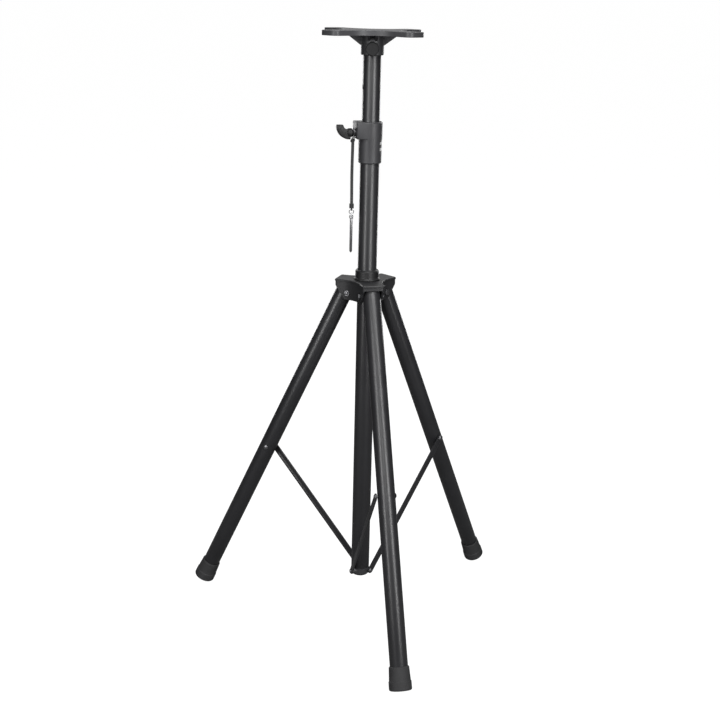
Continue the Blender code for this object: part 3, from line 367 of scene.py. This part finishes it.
# ---------------------------------------------------------------- materials
class Shader:
    """A Principled material, and short calls for the nodes that feed it.

    Scales are in noise waves to the metre, and depths and radii in metres.
    """

    def __init__(self, name, roughness, metallic=0.0, specular=0.5):
        self.material = bpy.data.materials.new(name)
        self.material.use_nodes = True
        self.tree = self.material.node_tree
        self.shader = self.tree.nodes["Principled BSDF"]
        self.shader.inputs["Roughness"].default_value = roughness
        self.shader.inputs["Metallic"].default_value = metallic
        self.shader.inputs["Specular IOR Level"].default_value = specular
        self.place = self.node("TexCoord").outputs["Object"]

    def node(self, kind):
        return self.tree.nodes.new("ShaderNode" + kind)

    def link(self, output, target):
        self.tree.links.new(output, target)

    def stretched(self, scale):
        """The place on the object, scaled unevenly, for a grain with a direction."""
        mapping = self.node("Mapping")
        mapping.inputs["Scale"].default_value = scale
        self.link(self.place, mapping.inputs["Vector"])
        return mapping.outputs["Vector"]

    def noise(self, scale, detail, roughness=0.5, place=None):
        node = self.node("TexNoise")
        node.inputs["Scale"].default_value = scale
        node.inputs["Detail"].default_value = detail
        node.inputs["Roughness"].default_value = roughness
        self.link(place or self.place, node.inputs["Vector"])
        return node.outputs["Fac"]

    def directed_noise(self, scale, detail, roughness=0.5):
        return self.noise(1.0, detail, roughness, place=self.stretched(scale))

    def cells(self, scale):
        node = self.node("TexVoronoi")
        node.inputs["Scale"].default_value = scale
        self.link(self.place, node.inputs["Vector"])
        return node.outputs["Distance"]

    def ramp(self, value, *stops):
        """A value turned into a colour, between two stops of a position and a colour."""
        node = self.node("ValToRGB")
        for element, (position, colour) in zip(node.color_ramp.elements, stops):
            element.position = position
            element.color = (*colour, 1.0)
        self.link(value, node.inputs["Fac"])
        return node.outputs["Color"]

    def share(self, value, start, end, most):
        """A grey that climbs from 0 to most as the value goes from start to end."""
        return self.ramp(value, (start, grey(0.0)), (end, grey(most)))

    def mottled(self, value, colour, tones, top):
        """The colour in a darker and a lighter tone, as a noise goes from NOISE_LOW to top."""
        return self.ramp(value, (NOISE_LOW, toned(colour, tones[0])), (top, toned(colour, tones[1])))

    def blend(self, share, under, over):
        """A node's colour with a plain colour laid over it."""
        node = self.node("Mix")
        node.data_type = "RGBA"
        sockets = {socket.identifier: socket for socket in node.inputs}
        self.link(share, sockets["Factor_Float"])
        self.link(under, sockets["A_Color"])
        sockets["B_Color"].default_value = (*over, 1.0)
        results = {socket.identifier: socket for socket in node.outputs}
        return results["Result_Color"]

    def spread(self, value, low, high):
        node = self.node("MapRange")
        node.inputs["To Min"].default_value = low
        node.inputs["To Max"].default_value = high
        self.link(value, node.inputs["Value"])
        return node.outputs["Result"]

    def bump(self, height, strength, depth, under=None):
        node = self.node("Bump")
        node.inputs["Strength"].default_value = strength
        node.inputs["Distance"].default_value = depth
        self.link(height, node.inputs["Height"])
        if under:
            self.link(under, node.inputs["Normal"])
        return node.outputs["Normal"]

    def worn_edge(self, radius, most):
        """Climbs from 0 to most at edges: where a rounded normal leaves the true one."""
        bevel = self.node("Bevel")
        bevel.samples = WEAR_SAMPLES
        bevel.inputs["Radius"].default_value = radius
        dot = self.node("VectorMath")
        dot.operation = "DOT_PRODUCT"
        self.link(bevel.outputs["Normal"], dot.inputs[0])
        self.link(self.node("NewGeometry").outputs["Normal"], dot.inputs[1])
        worn = self.ramp(dot.outputs["Value"], (WEAR_FULL, grey(1.0)), (WEAR_NONE, grey(0.0)))
        return self.spread(worn, 0.0, most)

    def finish(self, colour, roughness, normal=None):
        self.link(colour, self.shader.inputs["Base Color"])
        self.link(roughness, self.shader.inputs["Roughness"])
        if normal:
            self.link(normal, self.shader.inputs["Normal"])
        return self.material


def grey(shade):
    return (shade, shade, shade)


def toned(colour, tone):
    return tuple(channel * tone for channel in colour)


def powder_coat(name, colour, gloss_range, grain, depth, specular=0.5):
    """Satin powder coat: a fine orange peel, cloudy gloss and edges rubbed slightly paler."""
    s = Shader(name, roughness=0.4, specular=specular)
    peel = s.noise(grain, detail=2.0, roughness=0.55)
    cloud = s.noise(COAT_CLOUD, detail=4.0)
    speck = s.noise(grain * SPECK_FINENESS, detail=1.0)
    gloss = s.noise(COAT_GLOSS_CLOUD, detail=3.0)
    tint = s.mottled(cloud, colour, COAT_TONES, top=0.72)
    tint = s.blend(s.share(speck, start=0.62, end=0.78, most=0.35), tint, toned(colour, SPECK_TONE))
    worn = s.worn_edge(radius=0.0009, most=0.30)
    tint = s.blend(worn, tint, toned(colour, COAT_WORN_TONE))
    return s.finish(tint, s.spread(gloss, *gloss_range), s.bump(peel, strength=0.5, depth=depth))


def sliding_coat(name, colour, gloss_range):
    """The poles' coat: as the powder coat, with fine streaks where the sleeves slide."""
    s = Shader(name, roughness=0.35)
    peel = s.noise(POLE_PEEL, detail=2.0)
    streak = s.directed_noise(POLE_STREAKS, detail=4.0, roughness=0.65)
    cloud = s.noise(POLE_CLOUD, detail=4.0)
    tint = s.mottled(cloud, colour, POLE_TONES, top=0.72)
    streaks = s.share(streak, start=0.60, end=0.74, most=0.30)
    tint = s.blend(streaks, tint, toned(colour, STREAK_TONE))
    return s.finish(tint, s.spread(streak, *gloss_range), s.bump(peel, strength=0.4, depth=0.00006))


def moulding(name, colour, grain, depth, specular=0.5):
    """Spark-eroded plastic: fine pits, a cloudy gloss and edges rubbed slightly paler."""
    s = Shader(name, roughness=0.5, specular=specular)
    fine = s.noise(grain * FINE_GRAIN, detail=2.0)
    cloud = s.noise(PLASTIC_CLOUD, detail=3.0)
    gloss = s.noise(PLASTIC_GLOSS_CLOUD, detail=2.0)
    tint = s.mottled(cloud, colour, PLASTIC_TONES, top=0.70)
    worn = s.worn_edge(radius=0.0008, most=0.22)
    tint = s.blend(worn, tint, toned(colour, PLASTIC_WORN_TONE))
    pitted = s.bump(s.cells(grain), strength=0.35, depth=depth)
    relief = s.bump(fine, strength=0.25, depth=depth / 2, under=pitted)
    return s.finish(tint, s.spread(gloss, *PLASTIC_ROUGHNESS), relief)


def rubber(name, colour):
    """Moulded rubber: matt, finely grained, greyer with dust towards the floor."""
    s = Shader(name, roughness=0.75, specular=0.35)
    grain = s.noise(RUBBER_GRAIN, detail=2.0)
    dust = s.noise(RUBBER_DUST, detail=4.0, roughness=0.6)
    split = s.node("SeparateXYZ")
    s.link(s.place, split.inputs["Vector"])
    near_floor = s.node("MapRange")
    near_floor.inputs["From Min"].default_value = DUST_LINE
    near_floor.inputs["From Max"].default_value = 0.0
    s.link(split.outputs["Z"], near_floor.inputs["Value"])
    settled = s.node("Math")
    settled.operation = "MULTIPLY"
    s.link(near_floor.outputs["Result"], settled.inputs[0])
    s.link(s.spread(dust, 0.0, DUST_SHARE), settled.inputs[1])
    tint = s.mottled(dust, colour, RUBBER_TONES, top=0.70)
    tint = s.blend(settled.outputs["Value"], tint, toned(colour, DUST_TONE))
    return s.finish(tint, s.spread(dust, *RUBBER_ROUGHNESS), s.bump(grain, strength=0.30, depth=0.00006))


def plated_steel(name):
    """Zinc plate: bright, with a fine directional grain and faint dark blotches."""
    s = Shader(name, roughness=0.3, metallic=1.0)
    grain = s.directed_noise(ZINC_GRAIN, detail=4.0)
    blotch = s.noise(ZINC_BLOTCH, detail=3.0)
    tint = s.ramp(blotch, (NOISE_LOW, ZINC_DARK), (0.68, ZINC_BRIGHT))
    return s.finish(tint, s.spread(grain, *ZINC_ROUGHNESS), s.bump(grain, strength=0.12, depth=0.00003))


def blackened_steel(name):
    """Black fasteners: thin black plate, rubbed through to grey on the edges."""
    s = Shader(name, roughness=0.35, metallic=0.85)
    grain = s.noise(FASTENER_GRAIN, detail=3.0)
    tint = s.ramp(grain, (NOISE_LOW, BLACK_PLATE_DARK), (0.70, BLACK_PLATE_LIGHT))
    tint = s.blend(s.worn_edge(radius=0.0005, most=0.6), tint, BARE_STEEL)
    return s.finish(tint, s.spread(grain, *FASTENER_ROUGHNESS), s.bump(grain, strength=0.12, depth=0.00003))


def braided_cord(name):
    """Black nylon: a soft sheen, with fibres along the strands."""
    s = Shader(name, roughness=0.75)
    s.shader.inputs["Sheen Weight"].default_value = 0.15
    s.shader.inputs["Sheen Roughness"].default_value = 0.5
    fibre = s.directed_noise(CORD_FIBRE, detail=4.0)
    tint = s.ramp(fibre, (NOISE_LOW, NYLON_DARK), (0.72, NYLON_LIGHT))
    return s.finish(tint, s.spread(fibre, *CORD_ROUGHNESS), s.bump(fibre, strength=0.4, depth=0.0001))


def white_print(name):
    """White pad print, slightly uneven."""
    s = Shader(name, roughness=0.5)
    patch = s.noise(PRINT_PATCH, detail=3.0)
    tint = s.ramp(patch, (0.25, PRINT_THIN), (0.55, PRINT_FULL))
    return s.finish(tint, s.spread(patch, *PRINT_ROUGHNESS))


def make_materials():
    return {
        "tray_coat": powder_coat("tray_powder_coat", TRAY_BLACK, (0.42, 0.54),
                                  grain=520.0, depth=0.00018),
        "hub_coat": powder_coat("hub_powder_coat", HUB_BLACK, (0.40, 0.52),
                                grain=480.0, depth=0.00020, specular=0.4),
        "coat": powder_coat("tube_powder_coat", TUBE_BLACK, (0.30, 0.40),
                            grain=640.0, depth=0.00008),
        "pole": sliding_coat("pole_coat", TUBE_BLACK, (0.30, 0.42)),
        "moulding": moulding("moulded_plastic", PLASTIC_BLACK, grain=1500.0, depth=0.00012),
        "knob": moulding("knob_plastic", KNOB_BLACK, grain=1800.0, depth=0.00012, specular=0.3),
        "liner": moulding("liner_plastic", LINER_GREY, grain=900.0, depth=0.00004),
        "rubber": rubber("moulded_rubber", RUBBER_BLACK),
        "steel": plated_steel("plated_steel"),
        "black_steel": blackened_steel("blackened_steel"),
        "cord": braided_cord("braided_nylon"),
        "print": white_print("white_print"),
    }


# ---------------------------------------------------------------- edges of the CAD nodes
def smoothing_group():
    """Geometry nodes: smooth shading that stops at edges sharper than the smooth angle."""
    group = bpy.data.node_groups.new("smooth_by_angle", "GeometryNodeTree")
    group.interface.new_socket("Geometry", in_out="INPUT", socket_type="NodeSocketGeometry")
    group.interface.new_socket("Geometry", in_out="OUTPUT", socket_type="NodeSocketGeometry")
    nodes = group.nodes
    start = nodes.new("NodeGroupInput")
    end = nodes.new("NodeGroupOutput")
    clear = nodes.new("GeometryNodeRemoveAttribute")
    clear.inputs["Name"].default_value = "custom_normal"
    faces = nodes.new("GeometryNodeSetShadeSmooth")
    edges = nodes.new("GeometryNodeSetShadeSmooth")
    edges.domain = "EDGE"
    angle = nodes.new("GeometryNodeInputMeshEdgeAngle")
    flatter = nodes.new("FunctionNodeCompare")
    flatter.operation = "LESS_THAN"
    flatter.inputs["B"].default_value = SMOOTH_ANGLE
    links = group.links
    links.new(angle.outputs["Unsigned Angle"], flatter.inputs["A"])
    links.new(start.outputs[0], clear.inputs["Geometry"])
    links.new(clear.outputs["Geometry"], faces.inputs["Geometry"])
    links.new(faces.outputs["Geometry"], edges.inputs["Geometry"])
    links.new(flatter.outputs["Result"], edges.inputs["Shade Smooth"])
    links.new(edges.outputs["Geometry"], end.inputs[0])
    return group


def dress(node, material, edge, smoothing):
    """Gives a CAD node its material, welded faces, small rounded edges and smooth shading."""
    piece = frame["nodes"][node]
    piece.data.materials.clear()
    piece.data.materials.append(material)
    weld = piece.modifiers.new("weld", "WELD")
    weld.merge_threshold = WELD_DISTANCE
    if edge:
        flats = piece.modifiers.new("flats", "DECIMATE")
        flats.decimate_type = "DISSOLVE"
        flats.angle_limit = FLAT_ANGLE
        bevel = piece.modifiers.new("edges", "BEVEL")
        bevel.width = edge
        bevel.segments = EDGE_SEGMENTS
        bevel.limit_method = "ANGLE"
        bevel.angle_limit = SMOOTH_ANGLE
    smooth = piece.modifiers.new("smooth", "NODES")
    smooth.node_group = smoothing


def dress_all(materials):
    smoothing = smoothing_group()
    finishes = {
        "lower_mast_tube": ("pole", TUBE_EDGE),
        "upper_mast_tube": ("pole", TUBE_EDGE),
        "mast_end_bracket": ("moulding", NO_EDGE),
        "clamp_collar": ("moulding", NO_EDGE),
        "clamp_liner": ("liner", NO_EDGE),
        "clamp_washer": ("steel", SMALL_EDGE),
        "clamp_screw": ("steel", SMALL_EDGE),
        "wing_knob": ("knob", NO_EDGE),
        "lanyard_eyelet": ("black_steel", SMALL_EDGE),
        "lanyard_end_ferrule": ("rubber", NO_EDGE),
        "pin_ring": ("steel", NO_EDGE),
        "safety_pin": ("steel", NO_EDGE),
        "upper_tube_bush": ("liner", NO_EDGE),
        "tray_plate": ("tray_coat", NO_EDGE),
        "tray_lock_knob": ("knob", NO_EDGE),
        "tray_lock_screw": ("steel", SMALL_EDGE),
        "hub_body": ("hub_coat", NO_EDGE),
        "hub_collar": ("knob", SMALL_EDGE),
        "hub_bush": ("liner", NO_EDGE),
        "hub_lock_knob": ("knob", NO_EDGE),
        "hub_lock_screw": ("steel", SMALL_EDGE),
    }
    for side in SIDES:
        finishes["leg_tube_" + side] = ("coat", TUBE_EDGE)
        finishes["leg_top_plug_" + side] = ("liner", SMALL_EDGE)
        finishes["leg_foot_" + side] = ("rubber", SMALL_EDGE)
        finishes["leg_rivet_head_" + side] = ("black_steel", NO_EDGE)
        finishes["brace_" + side] = ("coat", SMALL_EDGE)
        finishes["brace_upper_rivet_" + side] = ("black_steel", NO_EDGE)
        finishes["brace_lower_rivet_" + side] = ("black_steel", NO_EDGE)
        finishes["leg_pivot_bolt_" + side] = ("black_steel", SMALL_EDGE)
        finishes["leg_pivot_nut_" + side] = ("black_steel", SMALL_EDGE)
    for node, (material, edge) in finishes.items():
        dress(node, materials[material], edge, smoothing)


# ---------------------------------------------------------------- light and floor
def softbox(name, mast_y, bearing, distance, height, size, aim_height, watts):
    """A rectangular light on a stand, turned towards the mast."""
    data = bpy.data.lights.new(name, "AREA")
    data.shape = "RECTANGLE"
    data.size, data.size_y = size
    data.energy = watts
    light = bpy.data.objects.new(name, data)
    turn = CAMERA_BEARING + math.radians(bearing)
    place = Vector((distance * math.sin(turn), mast_y - distance * math.cos(turn), height))
    aim = Vector((0.0, mast_y, aim_height))
    facing = (aim - place).to_track_quat("-Z", "Y").to_matrix().to_4x4()
    light.matrix_world = Matrix.Translation(place) @ facing
    light.visible_camera = name not in UNSEEN_LIGHTS
    bpy.context.scene.collection.objects.link(light)


def light_stand(mast_y):
    for name, settings in LIGHTS.items():
        softbox(name, mast_y, **settings)


def make_world():
    """White to the camera, dim to matt surfaces and darker still to gloss."""
    world = bpy.data.worlds.new("studio")
    bpy.context.scene.world = world
    world.use_nodes = True
    tree = world.node_tree
    background = tree.nodes["Background"]
    path = tree.nodes.new("ShaderNodeLightPath")
    seen = tree.nodes.new("ShaderNodeMix")
    seen.inputs["A"].default_value = AMBIENT
    seen.inputs["B"].default_value = GLOSS_SURROUND
    tree.links.new(path.outputs["Is Glossy Ray"], seen.inputs["Factor"])
    strength = tree.nodes.new("ShaderNodeMix")
    strength.inputs["B"].default_value = BACKDROP
    tree.links.new(path.outputs["Is Camera Ray"], strength.inputs["Factor"])
    tree.links.new(seen.outputs["Result"], strength.inputs["A"])
    background.inputs["Color"].default_value = WHITE
    tree.links.new(strength.outputs["Result"], background.inputs["Strength"])


def make_floor(mast_y):
    """A plain matt floor that glows to the camera only."""
    mesh = bpy.data.meshes.new("floor")
    work = bmesh.new()
    bmesh.ops.create_grid(work, x_segments=1, y_segments=1, size=FLOOR_SIDE / 2)
    work.to_mesh(mesh)
    work.free()
    floor = bpy.data.objects.new("floor", mesh)
    floor.location = (0.0, mast_y, -FLOOR_DROP)
    bpy.context.scene.collection.objects.link(floor)
    s = Shader("studio_floor", FLOOR_ROUGHNESS, specular=0.0)
    path = s.node("LightPath")
    glow = s.node("Math")
    glow.operation = "MULTIPLY"
    glow.inputs[1].default_value = FLOOR_GLOW
    s.link(path.outputs["Is Camera Ray"], glow.inputs[0])
    s.link(glow.outputs["Value"], s.shader.inputs["Emission Strength"])
    s.shader.inputs["Emission Color"].default_value = WHITE
    s.shader.inputs["Base Color"].default_value = (FLOOR_SHADE, FLOOR_SHADE, FLOOR_SHADE, 1.0)
    mesh.materials.append(s.material)


# ---------------------------------------------------------------- assembly
def mast_axis_y():
    low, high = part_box("lower_mast_tube")
    return (low.y + high.y) / 2


def skirt_radius():
    """The clamp's lower wall. The mast axis is at x = 0 and the clamp's lug points to -X."""
    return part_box("clamp_collar")[1].x - SKIRT_SET_BACK


def build():
    mast_y = mast_axis_y()
    set_camera(mast_y)
    materials = make_materials()
    cord, route = make_cord(mast_y, materials["cord"])
    hanging = [make_knot(mast_y, materials["cord"]), make_loop(mast_y, materials["cord"])]
    hanging += [frame["nodes"][name] for name in HANGING_NODES]
    for index, height in enumerate(MARK_HEIGHTS):
        make_mark("clamp_mark_%d" % index, height, mast_y, skirt_radius(), materials["print"])
    dress_all(materials)
    make_world()
    light_stand(mast_y)
    make_floor(mast_y)
    bpy.context.scene.view_settings.view_transform = "Standard"


build()
